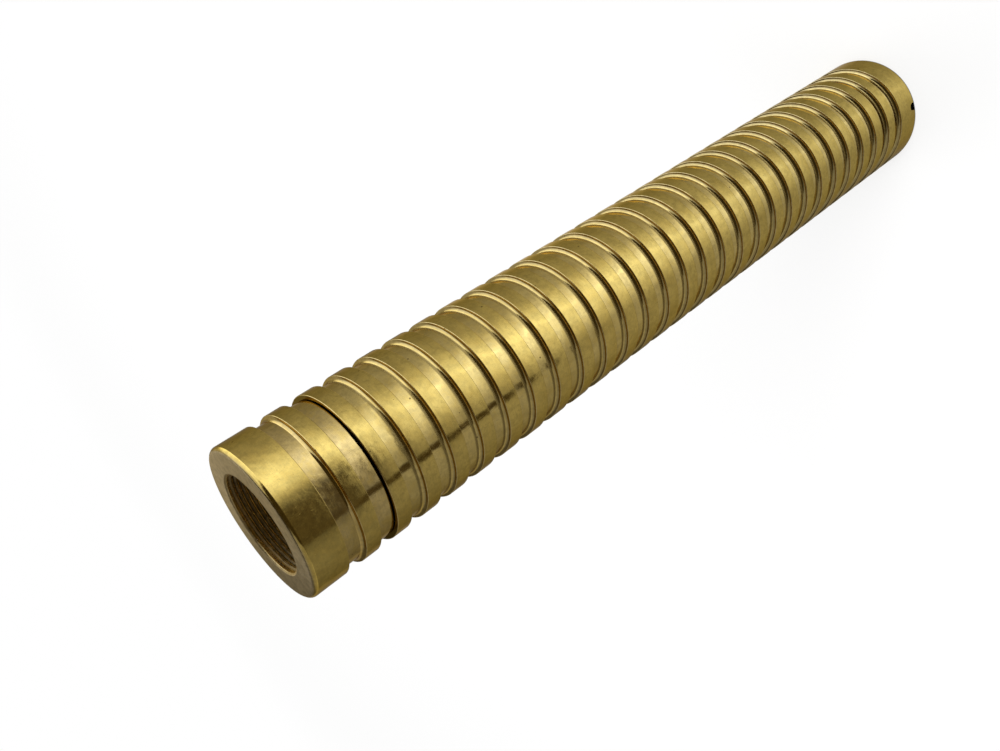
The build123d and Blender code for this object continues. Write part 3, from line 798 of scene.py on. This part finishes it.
def bodyTube():
    radius, root = bar["radius"], bar["root"]
    rear, front = bar["rearJoint"] + bar["rearGap"], bar["tubeFront"]
    edge, foot, corner, inner = bar["edgeBreak"], bar["footRound"], bar["cornerRound"], bar["boreEdge"]
    t = SimpleNamespace(**tube)
    halfFloor = bar["grooveWidth"] / 2
    firstLand = bar["rearBand"] + bar["pitch"] + bar["grooveWidth"]
    landTop = firstLand + bar["landWidth"]
    lastLand = front - bar["landWidth"]
    low = firstLand - halfFloor
    rings = round((lastLand - halfFloor - low) / bar["pitch"])
    high = low + rings * bar["pitch"]
    ring = roundedPath([
        (root, low, 0), (root, firstLand, corner), (radius, firstLand, edge), (radius, landTop, edge),
        (root, landTop, foot), (root, landTop + halfFloor, 0)], closed=False)
    obj = newObject("ringWork", turnedMesh("ring", ring, t.segments, closed=False))
    values = {"Rings": rings, "Pitch": bar["pitch"] * mm, "Material": brassOutside}
    grow(obj, *ringPatternTree(), values)
    threadLow, threadFull = [rear + above for above in t.threadRun]
    ends = roundedPath([
        (root, high, 0), (root, lastLand, corner), (radius, lastLand, edge), (radius, front, edge),
        (t.endBore + t.mouth, front, inner), (t.endBore, front - t.mouth, 0), (t.endBore, t.boreFront, 0),
        (t.cellBore, t.boreFront, 0), (t.cellBore, t.boreRear, 0), (t.endBore, t.boreRear, 0),
        (t.threadRoot, t.boreRear - t.threadStop, 0), (t.threadRoot, threadFull, 0),
        (t.endBore, threadLow, 0), (t.endBore, rear + t.mouth, 0), (t.endBore + t.mouth, rear, inner),
        (root, rear, edge), (root, low, 0)], closed=False)
    endMesh = turnedMesh("ends", ends, t.segments, closed=False)
    work = bmesh.new()
    work.from_mesh(obj.data)
    work.from_mesh(endMesh)
    work.to_mesh(obj.data)
    work.free()
    bpy.data.meshes.remove(endMesh)
    tidyMesh(obj.data, lathe["wideJoin"])
    newPiece("ringed_tube", finishedMesh(obj), brassOutside, "barrel", "turned_brass", "body_tube")


bodyTube()
print("ringed tube turned")


# The corners of the whole grooves that lie between two heights
def groovedSide(low, high):
    corners = []
    start = bar["rearBand"]
    while start < bar["frontFace"]:
        end = start + bar["grooveWidth"]
        if low < start and end < high:
            corners += [(bar["radius"], start, bar["edgeBreak"]), (bar["root"], start, bar["footRound"]),
                        (bar["root"], end, bar["cornerRound"]), (bar["radius"], end, bar["edgeBreak"])]
        start += bar["pitch"]
    return corners


# Head: grooves, rounded front edge, aperture with its thread and window seat
headSizes = {
    "neck": 10.2,
    "neckEdge": 0.2,
    "sealFloor": 9.3,
    "sealLow": 152.5,
    "sealHigh": 154.0,
    "sealEdge": 0.1,
    "frontEdge": 0.72,
    "bore": 7.5,
    "web": 159.0,
    "windowSeat": 160.2,
    "clear": 6.0,
    "apertureFloor": 164.0,
    "floorEdge": 0.08,
    "lip": 8.6,
    "crest": 8.25,
    "crestEdge": 0.04,
    "crestDepths": (0.2, 0.3),      # under the front face
    "threadRoot": 8.5,
    "threadDepth": 0.5,
    "threadFoot": (0.1, 0.4),       # above the aperture's floor: the thread's root starts, is full
    "grooveSlack": 0.5,             # past the front band's edge
}


def headPiece():
    h = SimpleNamespace(**headSizes)
    rear, face = bar["headRear"], bar["frontFace"]
    shoulder = bar["tubeFront"] + bar["jointGap"]
    firstLand = bar["tubeFront"] + bar["grooveWidth"]
    root, radius, edge, inner = bar["root"], bar["radius"], bar["edgeBreak"], bar["boreEdge"]
    crestHigh, crestLow = [face - depth for depth in h.crestDepths]
    footLow, footFull = [h.apertureFloor + above for above in h.threadFoot]
    obj = turnedObject("head", [
        (h.bore, rear, 0), (h.neck, rear, h.neckEdge),
        (h.neck, h.sealLow, h.sealEdge), (h.sealFloor, h.sealLow, 0),
        (h.sealFloor, h.sealHigh, 0), (h.neck, h.sealHigh, h.sealEdge),
        (h.neck, shoulder, h.sealEdge), (root, shoulder, edge),
        (root, firstLand, bar["cornerRound"]), (radius, firstLand, edge),
        *groovedSide(firstLand, face - bar["frontBand"] + h.grooveSlack),
        (radius, face, h.frontEdge), (h.lip, face, inner),
        (h.crest, crestHigh, h.crestEdge), (h.crest, crestLow, h.crestEdge),
        (h.threadRoot, face - h.threadDepth, 0), (h.threadRoot, footFull, 0),
        (h.crest, footLow, 0), (h.crest, h.apertureFloor, 0),
        (h.bore, h.apertureFloor, h.floorEdge), (h.bore, h.windowSeat, 0),
        (h.clear, h.windowSeat, inner), (h.clear, h.web, inner), (h.bore, h.web, 0)],
        lathe["headSegments"])
    newPiece("threaded_head", finishedMesh(obj), brassOutside, "barrel", "turned_brass", "head")


headPiece()

# Tail cap: rim with its notch, two grooves, neck for the tube's thread
capSizes = {
    "recess": 8.8,
    "recessDepth": 3.4,
    "recessEdge": 0.12,
    "rimEdge": 0.35,
    "rimRound": 0.06,
    "buttonHole": 6.5,
    "webTop": 5.4,
    "switchBore": 7.8,
    "boardSeat": 15.4,
    "ringBore": 8.6,
    "neck": 10.2,
    "neckRound": 0.1,
    "shoulder": bar["capShoulder"],
    "joint": bar["rearJoint"],
    "sealFloor": 9.3,
    "sealLow": 13.7,
    "sealHigh": 15.2,
    "sealEdge": 0.08,
    "threadRoot": 9.9,
    "threadRun": (0.6, 0.9),    # above the seal's groove: the neck ends, the thread's root is full
    "endBevel": 0.3,
    "notchWidth": 1.9,
    "notchDepth": 2.0,
    "notchSteps": 16,
    "notchPast": (1.0, 2.0),    # how far the cutter stands out, below and at the sides
}


def notchCutter():
    c = SimpleNamespace(**capSizes)
    half = c.notchWidth / 2
    top = c.notchDepth - half
    below, beside = c.notchPast
    angles = [math.pi * k / c.notchSteps for k in range(c.notchSteps + 1)]
    outline = [(-half, -below)]
    outline += [(-half * math.cos(angle), top + half * math.sin(angle)) for angle in angles]
    outline += [(half, -below)]
    reach = bar["radius"] + beside
    points = [(x * mm, y * mm, z * mm) for x in (-reach, reach) for y, z in outline]
    count = len(outline)
    faces = [tuple(range(count)), tuple(reversed(range(count, 2 * count)))]
    faces += [(k, k + count, (k + 1) % count + count, (k + 1) % count) for k in range(count)]
    mesh = bpy.data.meshes.new("notchCutter")
    mesh.from_pydata(points, [], faces)
    tidyMesh(mesh)
    return newObject("notchCutter", mesh)


def tailCap():
    c = SimpleNamespace(**capSizes)
    radius, root, neckTop, inner = bar["radius"], bar["root"], bar["neckTop"], bar["boreEdge"]
    neckEnd, threadFull = [c.sealHigh + above for above in c.threadRun]
    obj = turnedObject("cap", [
        (c.recess, c.rimEdge, c.rimRound), (c.recess + c.rimEdge, 0, c.rimRound),
        (radius - c.rimEdge, 0, c.rimRound), (radius, c.rimEdge, c.rimRound), *groovedSide(0, c.shoulder),
        (radius, c.shoulder, bar["edgeBreak"]), (root, c.shoulder, bar["footRound"]),
        (root, c.joint, inner), (c.neck, c.joint, c.neckRound),
        (c.neck, c.sealLow, c.sealEdge), (c.sealFloor, c.sealLow, c.neckRound),
        (c.sealFloor, c.sealHigh, c.neckRound), (c.neck, c.sealHigh, c.sealEdge),
        (c.neck, neckEnd, inner), (c.threadRoot, threadFull, inner),
        (c.threadRoot, neckTop - c.endBevel, inner), (c.threadRoot - c.endBevel, neckTop, inner),
        (c.ringBore, neckTop, inner), (c.ringBore, c.boardSeat, 0),
        (c.switchBore, c.boardSeat, inner), (c.switchBore, c.webTop, c.neckRound),
        (c.buttonHole, c.webTop, inner), (c.buttonHole, c.recessDepth, c.recessEdge),
        (c.recess, c.recessDepth, c.recessEdge)],
        lathe["segments"])
    cutter = notchCutter()
    cut = obj.modifiers.new("notch", "BOOLEAN")
    cut.operation = "DIFFERENCE"
    cut.solver = "EXACT"
    cut.object = cutter
    bakeModifiers(obj)
    bpy.data.objects.remove(cutter)
    tidyMesh(obj.data)
    newPiece("tail_end_cap", finishedMesh(obj), brassOutside, "tail", "turned_brass", "tail_cap")


tailCap()

# Push button: domed face with a rounded edge
buttonSizes = {
    "radius": 6.3,
    "setBack": 0.9,
    "dome": 0.35,
    "domeSteps": 8,
    "edge": 0.3,
    "webTop": 5.4,
    "flange": 7.4,
    "flangeTop": 6.4,
    "nib": 1.5,
    "tip": 7.4,
}


def pushButton():
    b = SimpleNamespace(**buttonSizes)
    axis, inner = bar["axis"], bar["boreEdge"]
    curve = (b.radius ** 2 + b.dome ** 2) / (2 * b.dome)
    corners = []
    for step in range(1, b.domeSteps):
        r = b.radius * step / b.domeSteps
        corners.append((r, b.setBack + curve - math.sqrt(curve ** 2 - r ** 2), 0))
    corners += [(b.radius, b.setBack + b.dome, b.edge), (b.radius, b.webTop, inner),
                (b.flange, b.webTop, inner), (b.flange, b.flangeTop, inner), (b.nib, b.flangeTop, inner),
                (b.nib, b.tip, inner), (axis, b.tip, 0), (axis, b.setBack, 0)]
    obj = turnedObject("button", corners, lathe["buttonSegments"], lathe["wideJoin"])
    newPiece("push_button", finishedMesh(obj), brassOutside, "button", "turned_brass", "tail_button")


pushButton()
print("head, tail cap and button turned")

# Threads in mm: from the ridge's base to its crest, which may lie inwards or outwards
threads = {
    "aperture_thread": {"body": "barrel", "low": 164.4, "high": 169.0, "pitch": 0.75,
                        "base": 8.52, "crest": 8.12},
    "tube_mouth_thread": {"body": "barrel", "low": 16.1, "high": 22.0, "pitch": 0.8,
                          "base": 10.78, "crest": 10.52},
    "cap_neck_thread": {"body": "tail", "low": 16.3, "high": 22.0, "pitch": 0.8,
                        "base": 9.88, "crest": 10.17},
}


def threadRidges():
    tree, identifiers = threadTree()
    for name, sizes in threads.items():
        t = SimpleNamespace(**sizes)
        obj = newObject(name + "Work", bpy.data.meshes.new(name + "Work"))
        grow(obj, tree, identifiers, {
            "Radius": (t.base + t.crest) / 2 * mm,
            "Start": t.low * mm,
            "Turns": (t.high - t.low) / t.pitch,
            "Pitch": t.pitch * mm,
            "Height": abs(t.base - t.crest) * mm,
            "Root": t.pitch * ridge["rootShare"] * mm,
            "Crest": t.pitch * ridge["crestShare"] * mm,
            "Facing": math.pi / 2 * (-1 if t.crest < t.base else 1),
            "Material": brassThread,
        })
        mesh = obj.data
        bpy.data.objects.remove(obj)
        tidyMesh(mesh, ridge["join"], ridge["sharpAngle"])
        heights = [(math.hypot(v.co.x, v.co.y) / mm - t.base) / (t.crest - t.base) for v in mesh.vertices]
        crest = [min(1.0, max(0.0, height)) for height in heights]
        # Crests get the pale colour, partly a painted highlight; roots get painted shade
        marks = {"edge": [ridge["wear"] * c for c in crest], "corner": [1 - c for c in crest]}
        for label, values in marks.items():
            mesh.attributes.new(label, "FLOAT", "POINT").data.foreach_set("value", values)
        newPiece(name, mesh, brassThread, t.body, "turned_brass")


threadRidges()
print("threads cut")

# Cell: rounded can with its crimp, and a shrink wrap that folds over both ends
cellSizes = {
    "segments": 128,
    "rear": 24.4,
    "crimp": 84.4,
    "crimpDepth": 0.7,
    "crimpEdge": 0.25,
    "shoulder": 88.4,
    "can": 9.05,
    "canWaist": 8.4,        # at the crimp
    "canRear": 0.5,
    "canCrimp": 0.3,
    "canShoulder": 0.6,
    "terminal": 2.9,
    "terminalFoot": 0.1,
    "terminalEdge": 0.35,
    "tip": 89.6,
    "wrap": 9.2,
    "wrapInside": 9.0,
    "wrapRear": 8.5,        # radius up to which the wrap is folded at the rear
    "wrapFront": 7.6,       # the same at the front
    "wrapCrimp": 0.385,     # how deep the wrap sinks into the crimp
    "wrapCrimpEdge": 0.35,
    "wrapShoulder": 0.55,
    "foldEdge": 0.03,
    "foldFront": 0.02,
    "foldThick": 0.06,
    "foldRear": 0.3,
    "foldSlant": 0.2,
}


def cellPieces():
    c = SimpleNamespace(**cellSizes)
    axis = bar["axis"]
    crimpLow, crimpHigh = c.crimp - c.crimpDepth, c.crimp + c.crimpDepth
    can = turnedObject("can", [
        (axis, c.rear, 0), (c.can, c.rear, c.canRear), (c.can, crimpLow, c.crimpEdge),
        (c.canWaist, c.crimp, c.canCrimp), (c.can, crimpHigh, c.crimpEdge),
        (c.can, c.shoulder, c.canShoulder), (c.terminal, c.shoulder, c.terminalFoot),
        (c.terminal, c.tip, c.terminalEdge), (axis, c.tip, 0)],
        c.segments, lathe["wideJoin"])
    newPiece("cell_can", finishedMesh(can), surfaces["nickel"], "tail", "nickel", "cell")
    wrap = turnedObject("wrap", [
        (c.wrapRear, c.rear, c.foldEdge), (c.wrap, c.rear, c.canRear), (c.wrap, crimpLow, c.crimpEdge),
        (c.wrap - c.wrapCrimp, c.crimp, c.wrapCrimpEdge), (c.wrap, crimpHigh, c.crimpEdge),
        (c.wrap, c.shoulder, c.wrapShoulder), (c.wrapFront, c.shoulder, c.foldFront),
        (c.wrapFront, c.shoulder - c.foldThick, 0), (c.wrapInside, c.shoulder - c.foldSlant, 0),
        (c.wrapInside, c.rear + c.foldRear, 0), (c.wrapRear, c.rear + c.foldThick, 0)],
        c.segments)
    newPiece("cell_wrap", finishedMesh(wrap), surfaces["cell_wrap"], "tail", "cell_wrap", "cell_sleeve")


cellPieces()


# Every node of the frame that keeps its own mesh gets its slot's material
for part in frame["record"]["subparts"]:
    node = frame["nodes"][part["node"]]
    for place in node.material_slots:
        place.link = "OBJECT"
        place.material = surfaces[part["material_slot"]]
print("inner pieces painted")


# Studio: a pale floor, soft lamps, and what the brass mirrors as a pattern of directions.
# Turns and rises are in degrees. A level of 1 is white.
studio = {
    "floorHalf": 4.0,
    "floorGlow": 0.70,
    "floorMatt": 0.32,
    "floorFade": (0.4, 1.8),        # from the shadow's floor to the backdrop's white, in m
    "footFade": (0.0125, 0.0127),   # painted shadow under the tail rim: the floor goes black there
    "floorUnseen": (0.8, 0.8, 0.8),
    "plainWorld": 0.55,
    # turn from the bright band's middle, level of what lies there
    "belowRamp": (
        (-180, .16), (-165, .16), (-145, .20), (-110, .24), (-85, .28), (-65, .28), (-53, .33), (-42, .50),
        (-32, .66), (-22, .86), (-12, .96), (-6, 1.0), (-2, 1.2), (3, 1.2), (7, 1.0), (14, .87), (26, .66),
        (37, .46), (48, .34), (62, .30), (80, .25), (100, .215), (118, .23), (140, .5), (156, .7),
        (172, .7), (180, .3)),
    # by elevation: turn of the bright band's middle, gain of the levels above the base, gain of the base
    "belowMiddle": ((-90, 20), (-53, 27), (-46, 29), (-36, 35), (-22, 50), (-12, 68), (0, 76)),
    "belowBase": 0.25,
    "belowGain": ((-90, .42), (-60, .42), (-53, .53), (-46, .84), (-36, 1.24), (-22, 1.12), (-12, 1.3),
                  (0, 1.3)),
    "baseGain": ((-90, 1.22), (-53, 1.22), (-46, 1.24), (-36, 1.22), (-22, 1.08), (-12, 1), (0, 1)),
    "backBand": {"turn": (122, 136), "rise": (-32, -24)},   # here only the base is left
    "underneath": {"low": -74, "high": -62, "level": 0.06},
    # dark cards just under the horizon
    "flags": (
        {"start": -31, "end": -21, "low": -30, "high": -14, "level": 0.05, "softTurn": 1.5, "softRise": 5},
        {"start": -36, "end": 36, "low": -17, "high": -4, "level": 0.08, "softTurn": 20, "softRise": 5},
    ),
    "horizonRamp": ((-180, .3), (-60, .36), (-30, .07), (64, .07), (74, 1.5), (156, 1.5), (166, .3),
                    (180, .3)),
    "horizon": {"low": -4.5, "high": 6.5, "soft": 2.0},
    "horizonBlend": 4,
    "aboveRamp": ((-180, .5), (-162, .5), (-152, .12), (-122, .12), (-112, .28), (-32, .28), (-28, .035),
                  (66, .035), (73, 1.2), (156, 1.2), (168, .5), (180, .5)),
    # level high up by azimuth, and the level straight above
    "zenithRamp": ((-180, .035), (-120, .035), (-104, .3), (-36, .3), (-28, .035), (66, .035), (74, .7),
                   (146, .7), (156, .035), (180, .035)),
    "zenith": {"low": 42, "high": 56, "core": 66, "coreFull": 78, "level": 0.045},
    # colour of what is mirrored by its level: from level, to level, colour there
    "darkCast": (1.0, 0.72, 0.30),
    "casts": ((0.03, 0.14, (1.0, 0.98, 0.95)), (0.28, 0.6, (1.0, 1.0, 1.0)), (0.6, 1.1, (0.98, 1.03, 1.18))),
}
# A ramp holds its stops divided by this, so that none is above 1
rampScales = {"belowMiddle": 90, "baseGain": 1.5, "horizonRamp": 1.5, "aboveRamp": 1.35}


def rampNode(make, value, low, high, name):
    stops, scale = studio[name], rampScales.get(name, 1.0)
    share = make.mapRange(value, low, high, smooth=False)
    ramp = make.add("ShaderNodeValToRGB", {0: share})
    elements = ramp.color_ramp.elements
    ramp.color_ramp.interpolation = "LINEAR"
    while len(elements) < len(stops):
        elements.new(0.5)
    for element, (place, level) in zip(elements, stops):
        element.position = (place - low) / (high - low)
        element.color = (level / scale,) * 3 + (1,)
    return make.product(ramp.outputs[0], scale)


def levelBelow(make, azimuth, elevation):
    def byRise(name):
        return rampNode(make, elevation, -90, 0, name)

    fromMiddle = make.math("SUBTRACT", azimuth, byRise("belowMiddle"))
    turn = make.math("WRAP", fromMiddle, 180.0, -180.0)
    level = rampNode(make, turn, -180, 180, "belowRamp")
    base = make.math("MINIMUM", level, studio["belowBase"])
    back = studio["backBand"]
    shut = make.product(make.mapRange(turn, *back["turn"]), make.mapRange(elevation, *back["rise"]))
    excess = make.product(make.math("SUBTRACT", level, base), make.rest(shut))
    level = make.math("MULTIPLY_ADD", excess, byRise("belowGain"), make.product(base, byRise("baseGain")))
    for flag in studio["flags"]:
        f = SimpleNamespace(**flag)
        sides = make.window(azimuth, f.start - f.softTurn, f.start + f.softTurn,
                            f.end - f.softTurn, f.end + f.softTurn)
        ends = make.window(elevation, f.low - f.softRise, f.low, f.high, f.high + f.softRise)
        level = make.blend(make.product(sides, ends), level, f.level)
    under = studio["underneath"]
    return make.blend(make.mapRange(elevation, under["high"], under["low"]), level, under["level"])


def levelAbove(make, azimuth, elevation):
    low = rampNode(make, azimuth, -180, 180, "aboveRamp")
    high = rampNode(make, azimuth, -180, 180, "zenithRamp")
    top = studio["zenith"]
    high = make.blend(make.mapRange(elevation, top["core"], top["coreFull"]), high, top["level"])
    return make.blend(make.mapRange(elevation, top["low"], top["high"]), low, high)


def buildWorld():
    world = bpy.data.worlds.new("studio")
    bpy.context.scene.world = world
    world.use_nodes = True
    tree = world.node_tree
    tree.nodes.clear()
    make = NodeMaker(tree)
    direction = make.add("ShaderNodeTexCoord").outputs["Generated"]
    axes = make.add("ShaderNodeSeparateXYZ", {0: direction}).outputs
    azimuth = make.math("DEGREES", make.math("ARCTAN2", axes[1], axes[0]))
    elevation = make.math("DEGREES", make.math("ARCSINE", axes[2]))
    half = studio["horizonBlend"]
    seen = make.blend(make.mapRange(elevation, -half, half),
                      levelBelow(make, azimuth, elevation), levelAbove(make, azimuth, elevation))
    strip = studio["horizon"]
    within = make.window(elevation, strip["low"] - strip["soft"], strip["low"],
                         strip["high"], strip["high"] + strip["soft"])
    seen = make.blend(within, seen, rampNode(make, azimuth, -180, 180, "horizonRamp"))
    rays = make.add("ShaderNodeLightPath").outputs
    white = make.math("MAXIMUM", rays["Is Camera Ray"], rays["Is Transmission Ray"])
    level = make.blend(rays["Is Glossy Ray"], studio["plainWorld"], seen)
    level = make.math("MAXIMUM", level, white)
    cast = studio["darkCast"]
    for low, high, tint in studio["casts"]:
        cast = make.mixColor(make.mapRange(level, low, high), cast, tint)
    cast = make.mixColor(rays["Is Glossy Ray"], (1, 1, 1), cast)
    shader = make.add("ShaderNodeBackground", {"Color": cast, "Strength": level})
    make.add("ShaderNodeOutputWorld", {0: shader.outputs[0]})


def buildFloor():
    half = studio["floorHalf"]
    mesh = bpy.data.meshes.new("floor")
    corners = [(-half, -half, 0), (half, -half, 0), (half, half, 0), (-half, half, 0)]
    mesh.from_pydata(corners, [], [(0, 1, 2, 3)])
    floor = newObject("floor", mesh)
    material = bpy.data.materials.new("floor")
    material.use_nodes = True
    tree = material.node_tree
    tree.nodes.clear()
    make = NodeMaker(tree)
    # The middle keeps the shadow; far out the floor is as white as the backdrop
    place = make.add("ShaderNodeTexCoord").outputs["Object"]
    fromMiddle = make.add("ShaderNodeVectorMath", {0: place}, operation="LENGTH").outputs[1]
    far = make.mapRange(fromMiddle, *studio["floorFade"])
    # The floor is painted black under the tail rim, as the part's shadow
    foot = make.mapRange(fromMiddle, *studio["footFade"])
    level = make.product(make.mapRange(far, 0, 1, studio["floorGlow"], 1.0), foot)
    matt = make.product(make.mapRange(far, 0, 1, studio["floorMatt"], 0.0), foot)
    glow = make.add("ShaderNodeEmission", {"Color": (1, 1, 1), "Strength": level})
    grey = make.add("ShaderNodeCombineColor", {0: matt, 1: matt, 2: matt})
    dull = make.add("ShaderNodeBsdfDiffuse", {"Color": grey.outputs[0]})
    both = make.add("ShaderNodeAddShader", {0: glow.outputs[0], 1: dull.outputs[0]})
    plain = make.add("ShaderNodeBsdfDiffuse", {"Color": studio["floorUnseen"]})
    clear = make.add("ShaderNodeBsdfTransparent")
    toCamera = make.add("ShaderNodeLightPath").outputs["Is Camera Ray"]
    seen = make.add("ShaderNodeMixShader", {0: toCamera, 1: plain.outputs[0], 2: both.outputs[0]})
    behind = make.add("ShaderNodeNewGeometry").outputs["Backfacing"]
    shader = make.add("ShaderNodeMixShader", {0: behind, 1: seen.outputs[0], 2: clear.outputs[0]})
    make.add("ShaderNodeOutputMaterial", {0: shader.outputs[0]})
    mesh.materials.append(material)
    floor.visible_glossy = False
    return floor


lamps = {
    "key": {"place": (0.55, 0.75, 1.1), "size": 0.9, "power": 8.0},
    "fill": {"place": (0.9, -0.7, 0.8), "size": 1.2, "power": 3.5},
    "rim": {"place": (-0.9, -0.2, 1.0), "size": 1.0, "power": 3.5},
}


def buildLamps():
    made = []
    for name, lamp in lamps.items():
        data = bpy.data.lights.new(name, "AREA")
        data.shape = "DISK"
        data.size = lamp["size"]
        data.energy = lamp["power"]
        obj = newObject(name, data)
        obj.location = lamp["place"]
        obj.rotation_euler = Vector(lamp["place"]).to_track_quat("Z", "Y").to_euler()
        obj.visible_glossy = False
        obj.visible_camera = False
        made.append(obj)
    return made


buildWorld()
buildFloor()
buildLamps()
bpy.context.scene.view_settings.view_transform = "Standard"
print("studio lit")
